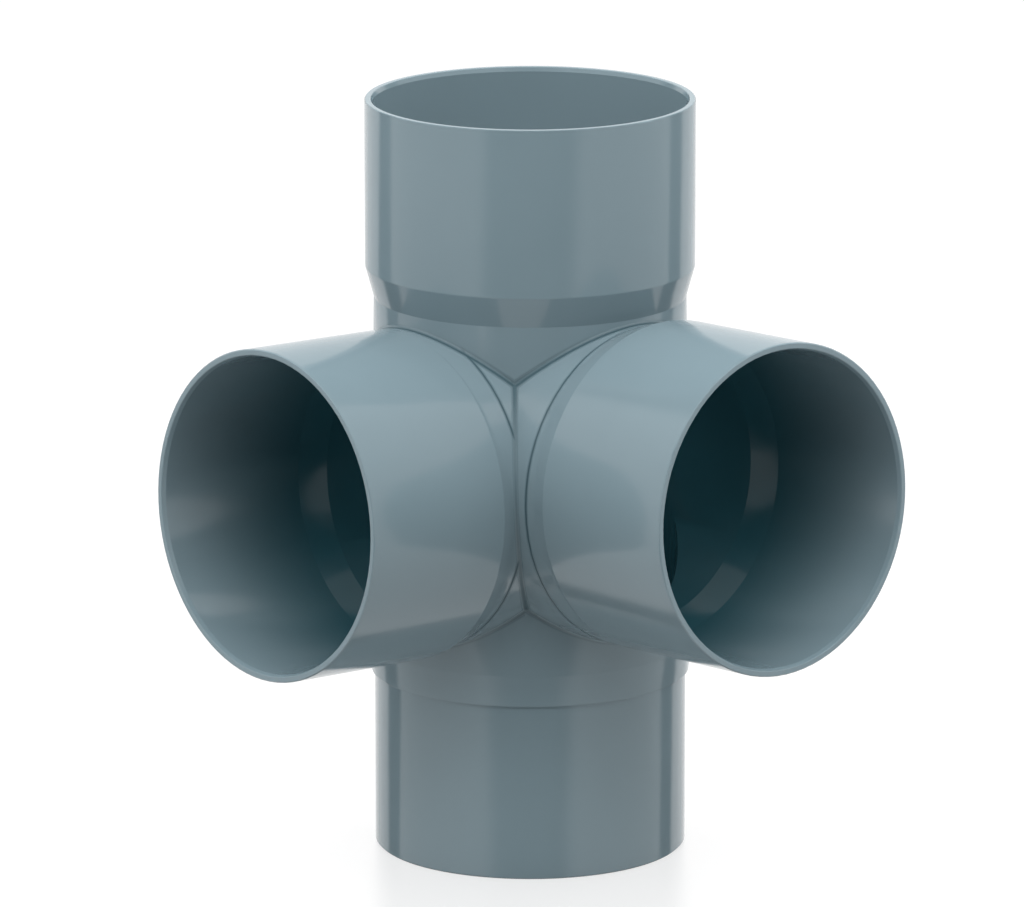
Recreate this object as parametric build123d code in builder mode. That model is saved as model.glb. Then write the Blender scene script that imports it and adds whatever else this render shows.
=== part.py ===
"""
Corner double branch for a 110 mm drainage stack, moulded in one piece.

The run stands along Z: a spigot at the foot, which goes into the pipe or socket below, a
body with a stop collar, and a socket at the top. Two branches leave the body square
to each other in plan, the lower one towards -Y and the upper one towards +X. Each rises
outwards at a small slope, so that water runs into the stack, and ends in the same socket
as the run. The necks of the branches lie nearer to each other in height than their sockets
do, so each shoulder is low on one side. The origin is the centre of the spigot's end.
"""

import os
from math import cos, radians, sin

from build123d import *

# Pipe and wall
pipe_diameter = 110.0
wall = 2.8
branch_core_inset = 0.3  # a branch bore is this much smaller than the run's, on the radius

# Sockets, the same at all three mouths
socket_depth = 62.0
shoulder_place = 59.3  # from the mouth to the shoulder's corner, on the outside
socket_play = 0.3  # between the pipe and the socket, on the radius
socket_wall = 2.7
shoulder_length = 10.8
ledge_length = 10.5
shoulder_round = 2.5
mouth_bevel = 0.4
lead_in_length = 1.6
lead_in_step = 0.6

# Spigot, and the collar that stops it
spigot_length = 63.0
spigot_bevel = 0.8
collar_step = 1.2  # how far the collar's foot stands out from the spigot
collar_length = 11.0
body_step = 2.0  # how far the body's foot stands out from the spigot

# Run
run_height = 268.5

# Branches: height of each axis on the run, and length from the run's axis to the mouth
lower_branch_height = 133.5
lower_branch_length = 122.5
upper_branch_height = 139.5
upper_branch_length = 131.0
branch_slope = 2.0  # degrees above the horizontal
neck_shift = 1.5  # how much nearer to each other in height the necks are than the sockets
neck_step = 0.6  # how far a neck's root stands out from the pipe's radius
neck_growth = 0.9  # how much wider the neck is at its socket, on the radius
seam_round = 1.2  # in the corners between the necks and the run

# Sizes that follow
pipe_radius = pipe_diameter / 2
bore_radius = pipe_radius - wall
branch_bore_radius = bore_radius - branch_core_inset
socket_radius = pipe_radius + socket_play
socket_outer_radius = socket_radius + socket_wall
past_face = 1.0  # how far a bore is cut past the face that it opens in

rise = radians(branch_slope)
run_plane = Plane(origin=(0, 0, 0), x_dir=(0, 0, 1), z_dir=(0, 1, 0))
lower_plane = Plane(
    origin=(0, 0, lower_branch_height),
    x_dir=(0, -cos(rise), sin(rise)),
    z_dir=(-1, 0, 0),
)
upper_plane = Plane(
    origin=(0, 0, upper_branch_height),
    x_dir=(cos(rise), 0, sin(rise)),
    z_dir=(0, -1, 0),
)
lower_neck_plane = Plane(
    origin=(0, 0, lower_branch_height + neck_shift),
    x_dir=lower_plane.x_dir,
    z_dir=lower_plane.z_dir,
)
upper_neck_plane = Plane(
    origin=(0, 0, upper_branch_height - neck_shift),
    x_dir=upper_plane.x_dir,
    z_dir=upper_plane.z_dir,
)


def socket_outside(mouth):
    """Shoulder and socket that end at this distance: corners and their rounds."""
    shoulder_end = mouth - shoulder_place
    return [
        ((shoulder_end - shoulder_length, pipe_radius), 0),
        ((shoulder_end, socket_outer_radius), shoulder_round),
        ((mouth - mouth_bevel, socket_outer_radius), 0),
        ((mouth, socket_outer_radius - mouth_bevel), 0),
    ]


def socket_inside(mouth, bore):
    """Stop ledge, pipe seat and lead-in of a socket that ends at this distance."""
    ledge_end = mouth - socket_depth
    lead_in_radius = socket_radius + lead_in_step * (1 + past_face / lead_in_length)
    return [
        ((ledge_end - ledge_length, bore), 0),
        ((ledge_end, socket_radius), 0),
        ((mouth - lead_in_length, socket_radius), 0),
        ((mouth + past_face, lead_in_radius), 0),
    ]


def run_outside():
    """Spigot, collar and body of the run, up to its shoulder."""
    return [
        ((0, pipe_radius - spigot_bevel), 0),
        ((spigot_bevel, pipe_radius), 0),
        ((spigot_length, pipe_radius), 0),
        ((spigot_length, pipe_radius + collar_step), 0),
        ((spigot_length + collar_length, pipe_radius + body_step), 0),
    ]


def neck_outside(mouth):
    """Neck of a branch whose socket ends at this distance."""
    return [
        ((0, pipe_radius + neck_step), 0),
        ((mouth - shoulder_place, pipe_radius + neck_step + neck_growth), 0),
    ]


# Each form is turned about its plane's X axis: where it starts, its outline, where it ends
run_and_necks = [
    (run_plane, 0, run_outside() + socket_outside(run_height), run_height),
    (lower_neck_plane, 0, neck_outside(lower_branch_length), lower_branch_length - shoulder_place),
    (upper_neck_plane, 0, neck_outside(upper_branch_length), upper_branch_length - shoulder_place),
]
branch_sockets = [
    (
        lower_plane,
        lower_branch_length - shoulder_place - shoulder_length,
        socket_outside(lower_branch_length),
        lower_branch_length,
    ),
    (
        upper_plane,
        upper_branch_length - shoulder_place - shoulder_length,
        socket_outside(upper_branch_length),
        upper_branch_length,
    ),
]
waterways = [
    (
        run_plane,
        -past_face,
        [((-past_face, bore_radius), 0)] + socket_inside(run_height, bore_radius),
        run_height + past_face,
    ),
    (
        lower_plane,
        0,
        [((0, branch_bore_radius), 0)] + socket_inside(lower_branch_length, branch_bore_radius),
        lower_branch_length + past_face,
    ),
    (
        upper_plane,
        0,
        [((0, branch_bore_radius), 0)] + socket_inside(upper_branch_length, branch_bore_radius),
        upper_branch_length + past_face,
    ),
]


def half_section(plane, start, outline, end):
    """The face between an outline and its plane's X axis, with the corners rounded."""
    corners = [(start, 0)] + [corner for corner, _ in outline] + [(end, 0)]
    rounds = [corner_round for _, corner_round in outline]
    with BuildSketch(plane) as section:
        with BuildLine():
            FilletPolyline(*corners, radius=rounds)
            Line(corners[-1], corners[0])
        make_face()
    return section.sketch


with BuildPart() as double_branch_fitting:
    for form in run_and_necks:
        revolve(half_section(*form), axis=Axis(form[0].origin, form[0].x_dir))

    # Seams between the run and the necks: the edges that are neither circles nor straight
    seams = double_branch_fitting.edges().filter_by(
        lambda edge: edge.geom_type not in (GeomType.CIRCLE, GeomType.LINE)
    )
    fillet(seams, radius=seam_round)

    for form in branch_sockets:
        revolve(half_section(*form), axis=Axis(form[0].origin, form[0].x_dir))

    for form in waterways:
        section = half_section(*form)
        revolve(section, axis=Axis(form[0].origin, form[0].x_dir), mode=Mode.SUBTRACT)

double_branch_fitting.part.label = "double_branch_fitting"

os.makedirs("parts", exist_ok=True)
export_step(double_branch_fitting.part, "parts/double_branch_fitting.step")

print("mass of solid, cm3:", round(double_branch_fitting.part.volume / 1000, 1))
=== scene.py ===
# %% [markdown]
# # A double branch for a drain stack, dressed in Blender
#
# The object is one grey moulding: a spigot at the foot, a socket on top and two socketed
# branches at right angles to each other. Its shape comes ready-made from the CAD model. What
# is left for Blender is how it looks: soft edges, the plastic itself, the light and the camera.

# %% The frame that the CAD model gives
import math

import bmesh
import bpy
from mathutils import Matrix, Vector


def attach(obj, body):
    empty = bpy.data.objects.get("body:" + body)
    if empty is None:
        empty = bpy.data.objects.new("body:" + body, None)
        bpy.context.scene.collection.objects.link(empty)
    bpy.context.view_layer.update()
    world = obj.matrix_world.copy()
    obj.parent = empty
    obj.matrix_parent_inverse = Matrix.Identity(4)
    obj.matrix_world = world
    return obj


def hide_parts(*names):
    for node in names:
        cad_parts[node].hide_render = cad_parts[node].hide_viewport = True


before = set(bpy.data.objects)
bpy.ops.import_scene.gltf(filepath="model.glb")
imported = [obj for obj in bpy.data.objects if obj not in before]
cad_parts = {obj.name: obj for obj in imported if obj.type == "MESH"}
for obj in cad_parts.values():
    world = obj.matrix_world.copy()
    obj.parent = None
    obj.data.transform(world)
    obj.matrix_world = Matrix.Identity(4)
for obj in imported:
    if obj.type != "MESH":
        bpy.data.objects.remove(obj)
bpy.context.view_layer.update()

# %% [markdown]
# ## Sizes
#
# Blender works in metres. The run and the two branches each have an axis, with three values:
# the point where it starts, the way it points, and how far along it the socket's mouth is.
# These are the CAD model's own sizes, and they help to find its edges again later on.

# %% The three axes
pipe_radius = 0.055
socket_radius = 0.0553
slope = math.radians(2.0)
sockets = {
    "run": (Vector((0, 0, 0)), Vector((0, 0, 1)), 0.2685),
    "lower": (Vector((0, 0, 0.1335)), Vector((0, -math.cos(slope), math.sin(slope))), 0.1225),
    "upper": (Vector((0, 0, 0.1395)), Vector((math.cos(slope), 0, math.sin(slope))), 0.131),
}
run_foot, run_way, _ = sockets["run"]
print("axes:", list(sockets))

# %% [markdown]
# ## The moulding
#
# The CAD solid arrives as loose triangles, each with its own corners, so a gloss on it would
# show every facet. Merging the corners that share a place makes one closed skin, and smooth
# shading then hides the facets. Shading by angle keeps the large corners crisp: the rims of
# the sockets and the end of the spigot.
#
# Operators in Blender act on whatever is selected and active. So everything else is
# deselected first, and the skin is made the active object.

# %% One smooth skin of the fitting
same_place = 0.000002
crisp_angle = math.radians(24)

cad_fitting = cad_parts["double_branch_fitting"]
fitting = cad_fitting.copy()
fitting.data = cad_fitting.data.copy()
fitting.name = "fitting_skin"
bpy.context.scene.collection.objects.link(fitting)
for other in bpy.context.selected_objects:
    other.select_set(False)
fitting.select_set(True)
bpy.context.view_layer.objects.active = fitting
bpy.ops.object.mode_set(mode="EDIT")
bpy.ops.mesh.select_all(action="SELECT")
bpy.ops.mesh.remove_doubles(threshold=same_place)
bpy.ops.object.mode_set(mode="OBJECT")
bpy.ops.object.shade_smooth_by_angle(angle=crisp_angle)
print("skin:", len(fitting.data.vertices), "corners,", len(fitting.data.polygons), "faces")

# %% [markdown]
# The shallow corners turn by less than that angle, and would be shaded away: the start of each
# shoulder, the stop ledges inside and the top of the collar. All of them are rings about the
# axis of the run or of a branch, so they are found by their distance along that axis.

# %% Find the edges of one ring
distance_slack = 0.00003
radius_slack = 0.0004


def ring_edges(shape, foot, along, distance, radius):
    """Edges that lie on a circle about an axis, at this distance from its foot."""
    found = []
    for edge in shape.edges:
        for corner in edge.verts:
            step = corner.co - foot
            height = step.dot(along)
            if abs(height - distance) > distance_slack:
                break
            if abs((step - height * along).length - radius) > radius_slack:
                break
        else:
            found.append(edge)
    return found


# %% [markdown]
# Each ring at a socket has two values: how far it is from the mouth, and its radius. The rings
# of the collar are measured from the end of the spigot.

# %% Crisp edges at the shallow corners
shoulder_start = (0.0701, pipe_radius)
ledge_foot = (0.0725, 0.052)
ledge_top = (0.062, socket_radius)
lead_in_end = (0.0016, socket_radius)
collar_top = (0.074, 0.057)

skin_shape = bmesh.new()
skin_shape.from_mesh(fitting.data)
crisp = ring_edges(skin_shape, run_foot, run_way, *collar_top)
for foot, along, mouth in sockets.values():
    for from_mouth, radius in (shoulder_start, ledge_foot, ledge_top, lead_in_end):
        crisp += ring_edges(skin_shape, foot, along, mouth - from_mouth, radius)
for edge in crisp:
    edge.smooth = False
print("crisp ring edges:", len(crisp))

# %% [markdown]
# A moulded rim is never as sharp as a cut one. The inner edges of the three rims and the foot
# of the collar get a fine round, which catches the light as a bright line.

# %% Fine rounds on the rims and the collar
rim_radius = 0.0559
collar_foot = (0.063, 0.0562)
fine_round = 0.00025

rims = []
for foot, along, mouth in sockets.values():
    rims += ring_edges(skin_shape, foot, along, mouth, rim_radius)
collar = ring_edges(skin_shape, run_foot, run_way, *collar_foot)
for items in (skin_shape.faces, skin_shape.edges, skin_shape.verts):
    for item in items:
        item.select = False
for edge in rims + collar:
    edge.select_set(True)
print("edges to round:", len(rims), "on the rims,", len(collar), "on the collar")
skin_shape.to_mesh(fitting.data)
skin_shape.free()
bpy.ops.object.mode_set(mode="EDIT")
bpy.ops.mesh.bevel(offset=fine_round, offset_type="OFFSET", segments=2, profile=0.5)
bpy.ops.object.mode_set(mode="OBJECT")
print("after rounding:", len(fitting.data.polygons), "faces")

# %% [markdown]
# A long thin triangle pulls the shading of its corners as hard as a wide one does. Weighted
# normals let the large faces decide, so the pipe walls stay even right up to the seams.

# %% Even shading on the large faces
even = fitting.modifiers.new("even_shading", "WEIGHTED_NORMAL")
even.keep_sharp = True
even.weight = 80
bpy.ops.object.modifier_apply(modifier=even.name)
print("modifiers left:", len(fitting.modifiers))

# %% [markdown]
# ## The plastic
#
# A material is a tree of nodes, where each input is either a constant or a link from another
# node. These short functions each put in one node, feed its inputs and hand back its output.


# %% Helpers for nodes
def feed(tree, socket, value):
    """Gives an input its value: by a link if it comes from another node, or as a constant."""
    if isinstance(value, bpy.types.NodeSocket):
        tree.links.new(value, socket)
    else:
        socket.default_value = value


def maths(tree, operation, *values):
    """One step of arithmetic, or a comparison that gives 1 or 0."""
    node = tree.nodes.new("ShaderNodeMath")
    node.operation = operation
    for socket, value in zip(node.inputs, values):
        feed(tree, socket, value)
    return node.outputs["Value"]


def vector_maths(tree, operation, *vectors):
    """One step of vector arithmetic. A length and a dot product are numbers."""
    node = tree.nodes.new("ShaderNodeVectorMath")
    node.operation = operation
    for socket, vector in zip(node.inputs, vectors):
        feed(tree, socket, vector)
    return node.outputs["Value" if operation in ("LENGTH", "DOT_PRODUCT") else "Vector"]


def ramp(tree, value, start, end, first, last, curve="SMOOTHSTEP"):
    """Goes from the first result to the last, as a value goes from start to end."""
    node = tree.nodes.new("ShaderNodeMapRange")
    node.interpolation_type = curve
    names = ("Value", "From Min", "From Max", "To Min", "To Max")
    for name, setting in zip(names, (value, start, end, first, last)):
        feed(tree, node.inputs[name], setting)
    return node.outputs["Result"]


def blend(tree, kind, factor, first, second):
    """Mixes two tones (RGBA) or two numbers (FLOAT): the first at 0, the second at 1."""
    node = tree.nodes.new("ShaderNodeMix")
    node.data_type = kind
    for name, setting in (("Factor", factor), ("A", first), ("B", second)):
        feed(tree, node.inputs[name], setting)
    return node.outputs["Result"]


def largest(tree, masks):
    """The largest of several masks at each point."""
    result = masks[0]
    for mask in masks[1:]:
        result = maths(tree, "MAXIMUM", result, mask)
    return result


# %% [markdown]
# A node group is a small tree of its own, with inputs, that can be used many times with other
# settings. One function makes an empty group, and one puts a finished group into a material.


# %% Helpers for node groups
def new_group(name, vectors, numbers):
    """A group with these inputs and one output, and its two ends to link to inside."""
    group = bpy.data.node_groups.new(name, "ShaderNodeTree")
    for kind, socket_names in (("NodeSocketVector", vectors), ("NodeSocketFloat", numbers)):
        for socket_name in socket_names:
            group.interface.new_socket(name=socket_name, in_out="INPUT", socket_type=kind)
    group.interface.new_socket(name="Value", in_out="OUTPUT", socket_type="NodeSocketFloat")
    given = group.nodes.new("NodeGroupInput").outputs
    result = group.nodes.new("NodeGroupOutput").inputs["Value"]
    return group, given, result


def use_group(tree, group, **settings):
    """Puts a group into a material, with these constants on its inputs."""
    node = tree.nodes.new("ShaderNodeGroup")
    node.node_tree = group
    for name, value in settings.items():
        node.inputs[name].default_value = value
    return node.outputs["Value"]


def object_place(tree):
    """Where a point is on the object, in the object's own frame."""
    return tree.nodes.new("ShaderNodeTexCoord").outputs["Object"]


# %% [markdown]
# Grey uPVC is coloured right through. Up close its tone clouds a little, where the melt cooled
# at different speeds, and its skin is a semi-gloss with a faint waviness. Cloudy noise does all
# of this. The noise is one node group, so that each use can have its own scale and strength.

# %% A node group for cloudy variation
noise_range = (0.2, 0.8)


def cloud_group():
    """Noise stretched between a low and a high value."""
    group, given, result = new_group("moulding_clouds", (), ("Scale", "Low", "High"))
    noise = group.nodes.new("ShaderNodeTexNoise")
    feed(group, noise.inputs["Vector"], object_place(group))
    feed(group, noise.inputs["Scale"], given["Scale"])
    feed(group, noise.inputs["Detail"], 3.0)
    feed(group, noise.inputs["Roughness"], 0.55)
    spread = ramp(group, noise.outputs["Fac"], *noise_range, given["Low"], given["High"])
    feed(group, result, spread)
    return group


clouds = cloud_group()
print("group:", clouds.name, "with", len(clouds.nodes), "nodes")

# %% [markdown]
# On the real moulding the seams between the necks, and the corners where the shoulders start,
# show as thin dark lines, because little light gets in there. Here they are painted shade: the
# tone is darkened along them. Two more groups find these places from the form itself. One says
# how near a point is to the wall of a pipe. A point that is near to two walls at once lies in
# their seam. The other says how near a point is to a ring about the same axis.


# %% Nearness to the wall of a pipe, and to a ring
def from_axis(group, given, measure):
    """How far along an axis a point is ("Distance"), or how far out from it ("Radius")."""
    step = vector_maths(group, "SUBTRACT", object_place(group), given["Foot"])
    if measure == "Distance":
        return vector_maths(group, "DOT_PRODUCT", step, given["Along"])
    across = vector_maths(group, "CROSS_PRODUCT", step, given["Along"])
    return vector_maths(group, "LENGTH", across)


def nearness_group(name, measure):
    """1 at this radius or distance, and 0 beyond its reach and below the inside limit."""
    group, given, result = new_group(name, ("Foot", "Along"), (measure, "Reach", "Inside"))
    measured = from_axis(group, given, measure)
    gap = maths(group, "ABSOLUTE", maths(group, "SUBTRACT", measured, given[measure]))
    near = ramp(group, gap, 0.0, given["Reach"], 1.0, 0.0)
    outside = maths(group, "GREATER_THAN", measured, given["Inside"])
    feed(group, result, maths(group, "MULTIPLY", near, outside))
    return group


wall_nearness = nearness_group("wall_nearness", "Radius")
ring_nearness = nearness_group("ring_nearness", "Distance")
print("groups:", wall_nearness.name, "and", ring_nearness.name)

# %% [markdown]
# Hardly any light gets deep into the branches, and in the picture their insides go dark within
# a few centimetres. One more group finds them. It is 0 on the outside, and inside a pipe it
# grows with the way from the pipe's ends. What counts as inside is a radius between the bore
# and the outer wall, and it follows the step where the bore widens to the socket.

# %% Depth inside a pipe
widening = (-0.0735, -0.062)
widened_limit = 0.0564


def depth_group():
    """0 outside a pipe, and inside it a value that grows to 1 with the way from both ends."""
    numbers = ("Bore", "Mouth", "End", "Foot_Fade", "End_Fade")
    group, given, result = new_group("inside_depth", ("Foot", "Along"), numbers)
    distance = from_axis(group, given, "Distance")
    radius = from_axis(group, given, "Radius")
    past_mouth = maths(group, "SUBTRACT", distance, given["Mouth"])
    limit = ramp(group, past_mouth, *widening, given["Bore"], widened_limit, curve="LINEAR")
    within = maths(group, "LESS_THAN", radius, limit)
    from_foot = ramp(group, distance, 0.0, given["Foot_Fade"], 0.0, 1.0)
    to_end = maths(group, "SUBTRACT", given["End"], distance)
    from_end = ramp(group, to_end, 0.0, given["End_Fade"], 0.0, 1.0)
    from_both = maths(group, "MULTIPLY", from_foot, from_end)
    feed(group, result, maths(group, "MULTIPLY", within, from_both))
    return group


inside_depth = depth_group()
print("group:", inside_depth.name, "with", len(inside_depth.nodes), "nodes")

# %% [markdown]
# Now the groups are put to work. Three seams meet at the crotch: the run with the lower neck,
# the run with the upper neck, and the two necks with each other. Each is looked for only on its
# own side, because the walls cross again elsewhere. The necks have axes of their own, a little
# nearer to each other in height than the sockets. The third seam also asks whether a point is
# outside the run at all, with a reach that takes in the whole object.

# %% The dark lines, painted as shade
body_radius = 0.056
body_reach = 0.002
body_inside = 0.0535
whole_object = 1.0
neck_heights = {"lower": 0.135, "upper": 0.138}
neck_radius = 0.0562
neck_reach = 0.0018
neck_inside = 0.05545
shoulder_line = 0.0699
line_reach = 0.0012
crotch = 0.0411


# Painted shade: this mask darkens the tone along the seams and the starts of the shoulders.
def painted_crease_shade(tree):
    """1 in the seams at the crotch and at the start of the branch shoulders, 0 elsewhere."""
    run = {"Foot": run_foot, "Along": run_way, "Radius": body_radius}
    run_wall = use_group(tree, wall_nearness, **run, Reach=body_reach, Inside=body_inside)
    outside_run = use_group(tree, wall_nearness, **run, Reach=whole_object, Inside=pipe_radius)
    walls = []
    shoulders = []
    for name, height in neck_heights.items():
        foot, along, mouth = sockets[name]
        neck = {"Foot": (0, 0, height), "Along": along, "Radius": neck_radius}
        wall = use_group(tree, wall_nearness, **neck, Reach=neck_reach, Inside=neck_inside)
        ring = {"Foot": foot, "Along": along, "Distance": mouth - shoulder_line}
        ring_line = use_group(tree, ring_nearness, **ring, Reach=line_reach)
        walls.append(wall)
        shoulders.append(maths(tree, "MULTIPLY", ring_line, wall))
    lower_wall, upper_wall = walls
    sides = tree.nodes.new("ShaderNodeSeparateXYZ")
    feed(tree, sides.inputs["Vector"], object_place(tree))

    def only(side, comparison, limit, mask):
        """Keeps a mask only where the point is on one side of a plane."""
        test = maths(tree, comparison, sides.outputs[side], limit)
        return maths(tree, "MULTIPLY", test, mask)

    lower_seam = maths(tree, "MULTIPLY", run_wall, lower_wall)
    lower_seam = only("Y", "LESS_THAN", 0.0, only("X", "LESS_THAN", crotch, lower_seam))
    upper_seam = maths(tree, "MULTIPLY", run_wall, upper_wall)
    upper_seam = only("X", "GREATER_THAN", 0.0, only("Y", "GREATER_THAN", -crotch, upper_seam))
    middle_seam = maths(tree, "MULTIPLY", outside_run, maths(tree, "MULTIPLY", *walls))
    middle_seam = only("Y", "LESS_THAN", 0.0, only("X", "GREATER_THAN", 0.0, middle_seam))
    return largest(tree, [lower_seam, upper_seam, middle_seam] + shoulders)


# %% [markdown]
# The insides of the branches go dark from the mouth on. The run stays light near the top, where
# the picture shows it light, and at the spigot's end.

# %% The dark insides, painted as shade
run_bore_limit = 0.0526
branch_bore_limit = 0.05205
run_end = 0.19
short_of_mouth = 0.001
long_fade = 0.07
no_fade = 0.0001


def pipe_depth(tree):
    """How deep a point is inside the run or a branch, from 0 to 1."""
    depths = []
    for name, (foot, along, mouth) in sockets.items():
        pipe = {"Foot": foot, "Along": along, "Mouth": mouth, "End_Fade": long_fade}
        if name == "run":
            pipe.update(Bore=run_bore_limit, End=run_end, Foot_Fade=long_fade)
        else:
            pipe.update(Bore=branch_bore_limit, End=mouth - short_of_mouth, Foot_Fade=no_fade)
        depths.append(use_group(tree, inside_depth, **pipe))
    return largest(tree, depths)


# %% [markdown]
# The clouds go into the material three times: wide ones mix two near tones of grey, finer ones
# vary the gloss, and the finest, through a Bump node, make the faint waviness. The dark lines
# are painted shade: they deepen the tone and dull the gloss. The depth inside the pipes paints
# more shade: it deepens the tone further and takes away half of the sheen.

# %% The grey uPVC
grey = (0.145, 0.202, 0.228, 1.0)
paler_grey = (0.155, 0.214, 0.241, 1.0)
# Painted shade: the tone that the seams and the shoulder starts are darkened to.
seam_shade_tone = (0.03, 0.062, 0.076, 1.0)
# Painted shade: the tone that the insides of the pipes deepen to.
inside_shade_tone = (0.022, 0.080, 0.101, 1.0)
seam_roughness = 0.6
outside_sheen = 0.5
inside_sheen = 0.25


def grey_upvc():
    """Semi-gloss blue-green grey, with painted shade in its seams and deep inside its pipes."""
    material = bpy.data.materials.new("grey_upvc")
    material.use_nodes = True
    tree = material.node_tree
    shader = tree.nodes["Principled BSDF"].inputs
    shader["IOR"].default_value = 1.5
    shader["Metallic"].default_value = 0.0
    lines = painted_crease_shade(tree)
    depth = pipe_depth(tree)

    wide_clouds = use_group(tree, clouds, Scale=14.0, Low=0.0, High=1.0)
    tone = blend(tree, "RGBA", wide_clouds, grey, paler_grey)
    # Painted shade in the seams and at the starts of the shoulders.
    tone = blend(tree, "RGBA", lines, tone, seam_shade_tone)
    # Painted shade: the tone deepens with the depth inside the pipes.
    tone = blend(tree, "RGBA", depth, tone, inside_shade_tone)
    feed(tree, shader["Base Color"], tone)

    gloss_clouds = use_group(tree, clouds, Scale=60.0, Low=0.1, High=0.14)
    feed(tree, shader["Roughness"], blend(tree, "FLOAT", lines, gloss_clouds, seam_roughness))
    sheen = blend(tree, "FLOAT", depth, outside_sheen, inside_sheen)
    feed(tree, shader["Specular IOR Level"], sheen)

    bump = tree.nodes.new("ShaderNodeBump")
    bump.inputs["Strength"].default_value = 0.1
    bump.inputs["Distance"].default_value = 0.0001
    feed(tree, bump.inputs["Height"], use_group(tree, clouds, Scale=110.0, Low=0.0, High=1.0))
    feed(tree, shader["Normal"], bump.outputs["Normal"])
    return material


plastic = grey_upvc()
fitting.data.materials.clear()
fitting.data.materials.append(plastic)
cad_fitting.data.materials.clear()
cad_fitting.data.materials.append(plastic)
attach(fitting, "root")
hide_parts("double_branch_fitting")
print("finish:", plastic.name)

# %% [markdown]
# ## The floor
#
# The fitting stands on a plain white sweep. A white sheet that is lit like the object never
# comes out quite white, so for the camera most of its tone is its own and only the rest comes
# from the lamps. That rest still carries the fitting's soft shadow.

# %% White floor
floor_size = 16.0
own_glow = 0.7
lit_tone = (0.45, 0.45, 0.45, 1.0)
seen_tone = (0.12, 0.12, 0.12, 1.0)


def white_paper():
    """Paper that glows for the rays that see it, and only reflects for those that carry light."""
    material = bpy.data.materials.new("white_paper")
    material.use_nodes = True
    tree = material.node_tree
    shader = tree.nodes["Principled BSDF"].inputs
    shader["Roughness"].default_value = 0.3
    shader["Emission Color"].default_value = (1.0, 1.0, 1.0, 1.0)
    rays = tree.nodes.new("ShaderNodeLightPath").outputs
    seeing = [rays["Is Camera Ray"], rays["Is Glossy Ray"], rays["Is Transmission Ray"]]
    seen = largest(tree, seeing)
    feed(tree, shader["Emission Strength"], maths(tree, "MULTIPLY", seen, own_glow))
    feed(tree, shader["Base Color"], blend(tree, "RGBA", seen, lit_tone, seen_tone))
    return material


bpy.ops.mesh.primitive_plane_add(size=floor_size, location=(0, 0, 0))
floor = bpy.context.active_object
floor.name = "floor"
floor.data.materials.append(white_paper())
floor.visible_glossy = False
print("floor:", floor.name, "in", floor.data.materials[0].name)

# %% [markdown]
# That white glows for the camera, and would also light up inside the pipe, where no light
# falls on the floor. A darker grey disc inside the spigot is painted shade there: it keeps the
# bottom dark.

# %% Painted shade: a dark disc inside the spigot
disc_radius = 0.0535
disc_height = 0.0003

bpy.ops.mesh.primitive_circle_add(
    vertices=64, radius=disc_radius, fill_type="NGON", location=(0, 0, disc_height)
)
disc = bpy.context.active_object
disc.name = "floor_inside"
dull = bpy.data.materials.new("painted_shade_paper")
dull.use_nodes = True
dull_shader = dull.node_tree.nodes["Principled BSDF"].inputs
dull_shader["Base Color"].default_value = (0.12, 0.12, 0.12, 1.0)
dull_shader["Roughness"].default_value = 0.9
disc.data.materials.append(dull)
print("disc:", disc.name)

# %% [markdown]
# ## The light
#
# The room is white all round, with a strength of 1 for the camera, which is plain white. In
# the gloss of the plastic it is a studio for packshots: a white screen on each side and behind,
# darker gaps between them, and a dark side where the camera stands. The light that it sheds is
# weaker, so that the insides of the pipes go deep and dark as in the picture.
#
# The screens are a colour ramp from the back of the room, at 0, to the camera's side, at 1.
# Each stop has a place and a brightness.

# %% White room
camera_bearing = 48.37
camera_side = math.radians(camera_bearing)
room_glow = 0.05
screen_stops = (
    (0.0, 1.0),
    (0.17, 1.0),
    (0.19, 0.08),
    (0.29, 0.08),
    (0.32, 1.0),
    (0.88, 1.0),
    (0.95, 0.12),
)


def studio_screens(tree):
    """How bright the room is in the gloss, from its back to the camera's side."""
    direction = tree.nodes.new("ShaderNodeTexCoord").outputs["Generated"]
    front = (math.sin(camera_side), -math.cos(camera_side), 0.0)
    towards_front = vector_maths(tree, "DOT_PRODUCT", direction, front)
    screens = tree.nodes.new("ShaderNodeValToRGB")
    screens.color_ramp.interpolation = "EASE"
    stops = screens.color_ramp.elements
    while len(stops) < len(screen_stops):
        stops.new(0.5)
    for stop, (place, brightness) in zip(stops, screen_stops):
        stop.position = place
        stop.color = (brightness, brightness, brightness, 1.0)
    from_back = ramp(tree, towards_front, -1.0, 1.0, 0.0, 1.0, curve="LINEAR")
    feed(tree, screens.inputs["Fac"], from_back)
    return screens.outputs["Color"]


room = bpy.data.worlds.new("white_room")
room.use_nodes = True
bpy.context.scene.world = room
room_tree = room.node_tree
room_rays = room_tree.nodes.new("ShaderNodeLightPath").outputs
screens_in_gloss = studio_screens(room_tree)
shed = blend(room_tree, "FLOAT", room_rays["Is Glossy Ray"], room_glow, screens_in_gloss)
sees_room = largest(room_tree, [room_rays["Is Camera Ray"], room_rays["Is Transmission Ray"]])
background = room_tree.nodes["Background"].inputs
background["Color"].default_value = (1.0, 1.0, 1.0, 1.0)
feed(room_tree, background["Strength"], blend(room_tree, "FLOAT", sees_room, shed, 1.0))
print("room:", room.name, "sheds", room_glow)

# %% [markdown]
# Soft lamps do the rest. The main one is high in front: it lights the tops of the branches
# and leaves their undersides dark. A weak one low in front, with a narrow beam, lifts the
# spigot alone. One is high behind for the far edges, and two on each side fill the flanks.
# All of them stay out of the gloss, because the white screens already show there.

# %% Soft lamps
middle_height = 0.13
spigot_height = 0.01


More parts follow.
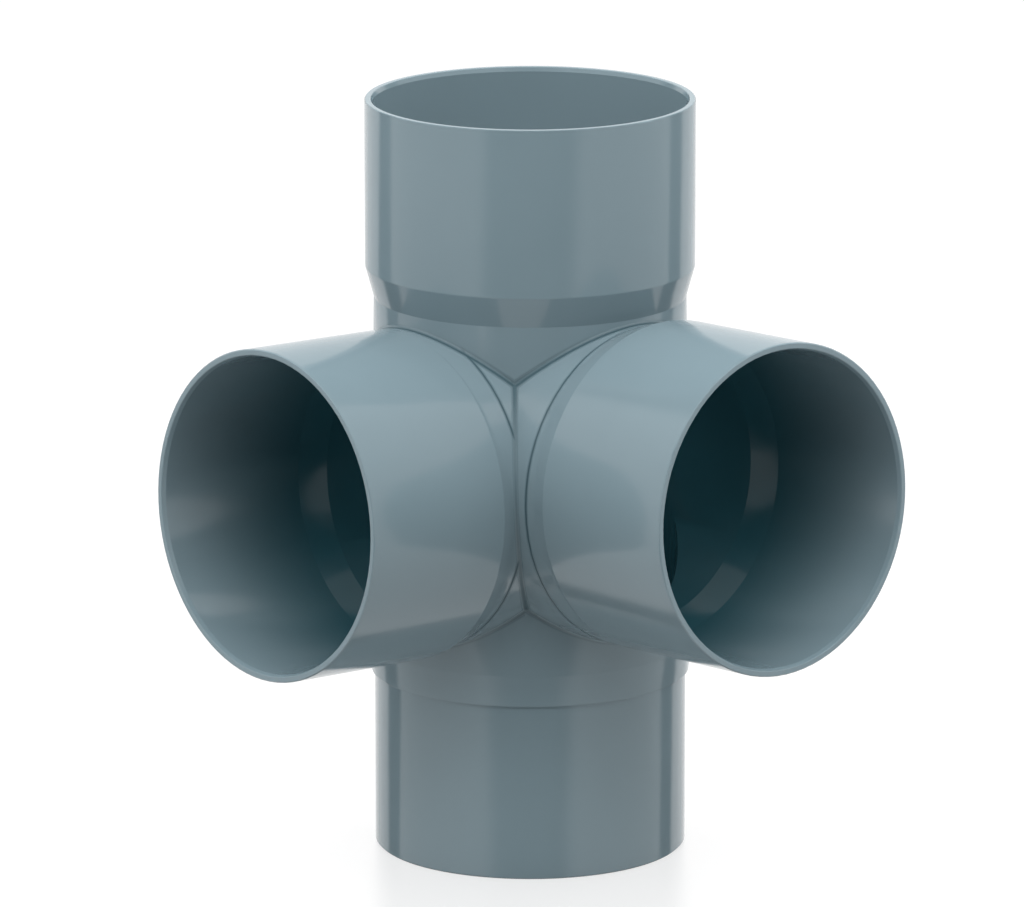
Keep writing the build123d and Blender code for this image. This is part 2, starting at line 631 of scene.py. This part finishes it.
def soft_lamp(name, bearing, height, reach, size, brightness, aim=middle_height, beam=180.0):
    """A rectangular lamp that looks at the fitting. Bearing, height and beam are angles."""
    around = math.radians(camera_bearing + bearing)
    up = math.radians(height)
    way = Vector((math.sin(around) * math.cos(up), -math.cos(around) * math.cos(up), math.sin(up)))
    lamp = bpy.data.lights.new(name, "AREA")
    lamp.shape = "RECTANGLE"
    lamp.size, lamp.size_y = size
    lamp.energy = brightness * math.pi * size[0] * size[1]
    lamp.spread = math.radians(beam)
    holder = bpy.data.objects.new(name, lamp)
    holder.location = Vector((0, 0, aim)) + reach * way
    holder.rotation_euler = (-way).to_track_quat("-Z", "Y").to_euler()
    holder.visible_camera = False
    holder.visible_glossy = False
    bpy.context.scene.collection.objects.link(holder)
    return holder


# Name, bearing from the camera's, height, reach, width and tallness, brightness
lamps = [
    soft_lamp("lamp_main", 0, 58, 1.5, (2.0, 1.2), 4.6),
    soft_lamp("lamp_foot", 0, 3, 1.2, (0.8, 0.08), 0.25, aim=spigot_height, beam=8.0),
    soft_lamp("lamp_behind", 180, 60, 1.3, (2.4, 1.6), 1.9),
    soft_lamp("lamp_left", -75, 15, 1.3, (1.2, 1.6), 1.3),
    soft_lamp("lamp_right", 75, 15, 1.3, (1.2, 1.6), 0.9),
    soft_lamp("lamp_far_left", -120, 20, 1.3, (1.2, 1.6), 1.5),
    soft_lamp("lamp_far_right", 120, 20, 1.3, (1.2, 1.6), 2.0),
]
print("lamps:", [lamp.name for lamp in lamps])

# %% [markdown]
# ## The camera
#
# The picture was taken from far off with a long lens, a little above the branches, from
# between the two. So the camera stands 3.3 m away, 13.65 degrees up. Its view is shifted a
# little, because the fitting isn't in the middle of the picture.

# %% Camera at the picture's angle
look_at = Vector((0.0, 0.0, 0.132))
camera_distance = 3.3
elevation = math.radians(13.65)
towards_camera = Vector(
    (
        math.sin(camera_side) * math.cos(elevation),
        -math.cos(camera_side) * math.cos(elevation),
        math.sin(elevation),
    )
)
camera = bpy.data.objects.new("camera", bpy.data.cameras.new("camera"))
bpy.context.scene.collection.objects.link(camera)
camera.location = look_at + camera_distance * towards_camera
camera.rotation_euler = (-towards_camera).to_track_quat("-Z", "Y").to_euler()
camera.data.lens = 328.6
camera.data.shift_x = -0.0177
camera.data.shift_y = 0.0229
camera.data.clip_end = 50.0
bpy.context.scene.camera = camera
bpy.context.scene.view_settings.view_transform = "Standard"
print("camera at", [round(value, 3) for value in camera.location])
